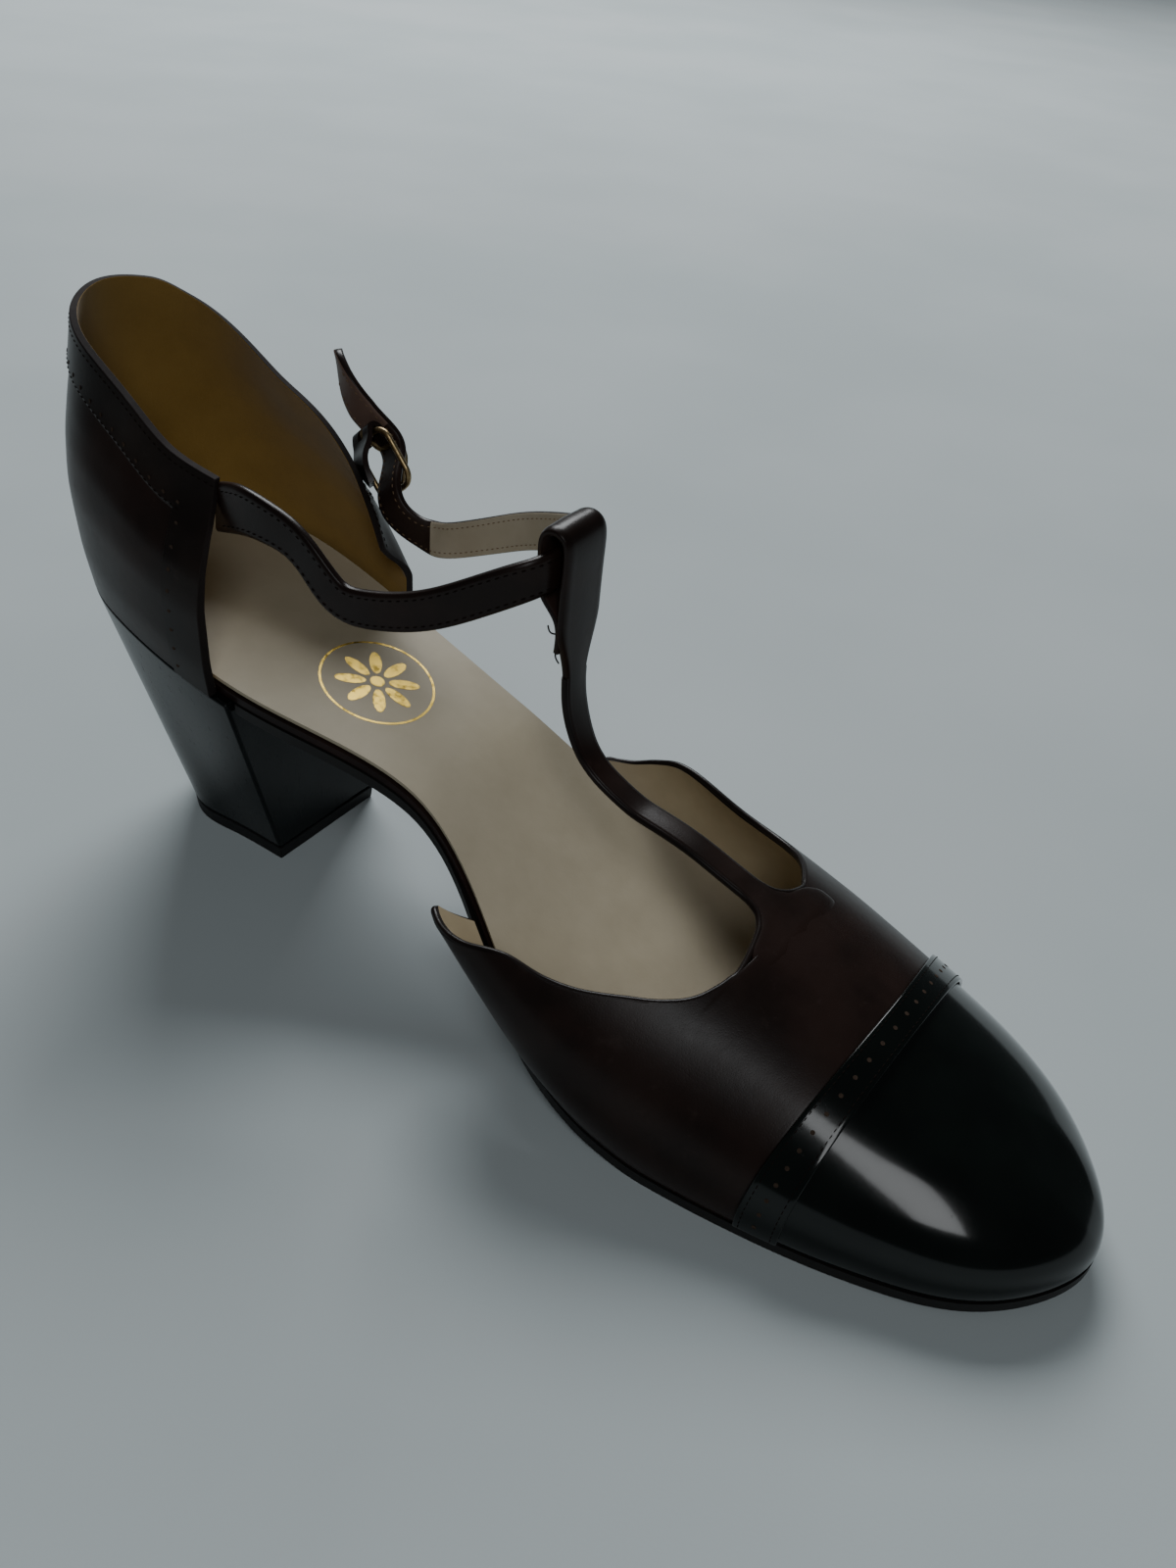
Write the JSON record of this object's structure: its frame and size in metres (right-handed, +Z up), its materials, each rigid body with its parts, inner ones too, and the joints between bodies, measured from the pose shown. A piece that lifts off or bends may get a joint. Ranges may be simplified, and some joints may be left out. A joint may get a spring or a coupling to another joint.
{
  "type": "t-strap block-heel shoe",
  "caption": "Left women's T-strap shoe: hollow leather upper with open sides and patent toe cap, ankle strap with buckle, thin sole and block heel.",
  "frame": {"origin": "middle of the heel top piece's flat face on the floor", "axes": "+X towards the toe, +Y towards the outer (left) side of the foot, +Z up from the floor"},
  "size_m": [0.2432, 0.0784, 0.1138],
  "materials": {
    "brown_leather": "semi-gloss smooth calf",
    "black_patent": "high-gloss patent",
    "heel_leather": "glossy covered heel",
    "rubber": "matt",
    "sole_leather": "stained edge, matt",
    "board": "leather-wrapped edge",
    "sock_leather": "matt smooth lining",
    "brass": "polished"
  },
  "bodies": {
    "root": {"sock": "sock_leather", "insole": "board", "outsole": "sole_leather", "heel": "heel_leather", "top_piece": "rubber", "vamp": "brown_leather", "toe_cap": "black_patent", "cap_band": "black_patent", "quarter": "brown_leather", "ankle_strap": "brown_leather", "buckle_frame": "brass", "buckle_prong": "brass", "buckle_tab": "brown_leather"}
  },
  "joints": []
}
